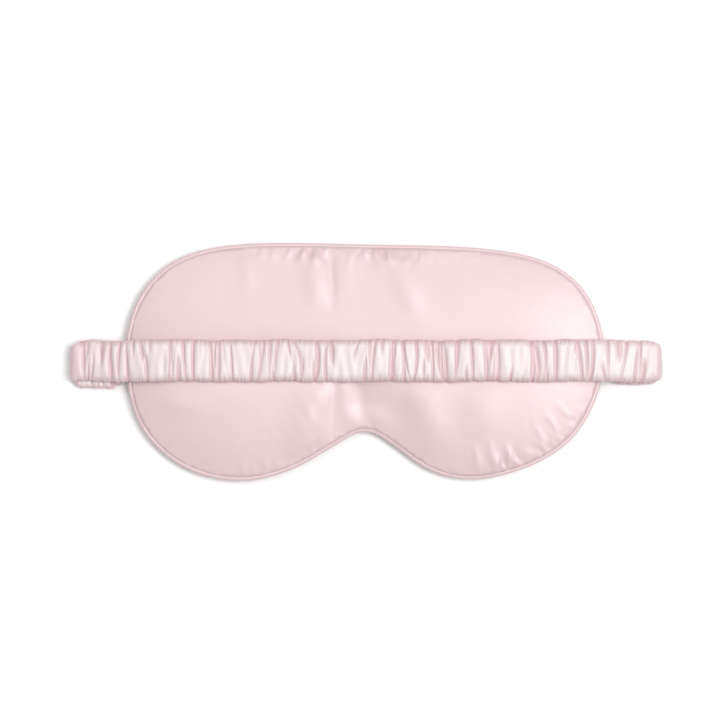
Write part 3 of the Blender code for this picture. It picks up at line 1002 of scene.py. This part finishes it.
def make_lights():
    area_light("key_softbox", (0.97, 0.07, 1.93), (0, 0, 0), (0.95, 0.95), 29.0, (1.0, 0.99, 0.98))
    area_light("brow_fill", (-0.25, 0.42, 1.5), (0, 0, 0), (1.3, 1.3), 9.2, (1.0, 1.0, 1.0))
    world = bpy.data.worlds.new("studio")
    bpy.context.scene.world = world
    world.use_nodes = True
    background = world.node_tree.nodes["Background"]
    background.inputs["Color"].default_value = (1.0, 0.99, 0.99, 1)
    background.inputs["Strength"].default_value = 0.40


def make_camera():
    """Straight above the mask, with VIEW_WIDTH in view at the height of the seam."""
    data = bpy.data.cameras.new("camera")
    data.lens, data.sensor_width = LENS, SENSOR
    camera = bpy.data.objects.new("camera", data)
    bpy.context.scene.collection.objects.link(camera)
    seam_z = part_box("face_panel_left")[0].z
    height = VIEW_WIDTH * MM * LENS / SENSOR + seam_z
    camera.location = (VIEW_CENTRE[0] * MM, VIEW_CENTRE[1] * MM, height)
    bpy.context.scene.camera = camera


# ---------------------------------------------------------------- assembly


def over_fold(piece, node):
    """The piece crosses the nose line and takes the place of both halves' CAD parts, which are hidden."""
    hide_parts(*[f"{node}_{side}" for side in ("left", "right")])
    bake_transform(piece)


def make_panels(finish):
    face, front = face_panel(finish), front_panel(finish)
    for piece, node in ((face, "face_panel"), (front, "front_panel")):
        over_fold(piece, node)
    return face, front


def make_piping(finish):
    tube = piping(finish, "piping_satin", 3, 0.04)
    over_fold(tube, "piping_sleeve")


def make_strap_half(side, satin_finish, elastic_finish):
    """The elastic and the sleeve round it, sewn at the seam, in place of the strap's CAD parts."""
    band = strap_elastic(side, elastic_finish)
    sleeve, length = strap_sleeve(side, satin_finish)
    for piece, node in ((sleeve, "strap_sleeve"), (band, "strap_elastic")):
        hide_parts(f"{node}_{side}")
        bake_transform(piece)


def finish_stitching(thread):
    """The thread tacks keep their CAD shape."""
    for side in ("left", "right"):
        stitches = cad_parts[f"strap_end_stitching_{side}"]
        stitches.data.materials.clear()
        stitches.data.materials.append(thread)


def main():
    bpy.context.scene.view_settings.view_transform = "Standard"
    pink = satin("pink_satin", (0.685, 0.512, 0.530), (0.650, 0.478, 0.498), roughness=0.41)
    # The strap's satin is a lighter, greyer copy of the panels' pink as painted sheen, and its crease colour
    # is painted shade in creases, along edges and at the fold end.
    strap_satin_painted_sheen_shade = satin("gathered_satin_painted_sheen_shade", (0.722, 0.620, 0.632), (0.678, 0.565, 0.578), roughness=0.48,
                       crease_painted_shade=(0.58, 0.35, 0.385))
    wadding = plain_cloth("wadding_fibre", (0.85, 0.85, 0.83), (0.78, 0.78, 0.76), 0.95, 900, 0.0003)
    lining = plain_cloth("blackout_cloth", (0.03, 0.03, 0.035), (0.05, 0.05, 0.055), 0.8, 1500, 0.0001)
    cotton = plain_cloth("cotton_cord", (0.85, 0.83, 0.78), (0.75, 0.73, 0.68), 0.9, 1200, 0.0002)
    elastic = plain_cloth("white_elastic", (0.88, 0.87, 0.86), (0.78, 0.77, 0.76), 0.7, 1500, 0.0001)
    thread = plain_cloth("pink_thread", (0.80, 0.58, 0.60), (0.70, 0.48, 0.50), 0.6, 2000, 0.0001)

    face, front = make_panels(pink)
    make_waddings(face, front, wadding)
    make_lining(lining)
    make_cord(cotton)
    make_piping(pink)
    for side in ("left", "right"):
        make_strap_half(side, strap_satin_painted_sheen_shade, elastic)
    finish_stitching(thread)

    make_stage()
    make_lights()
    make_camera()


main()
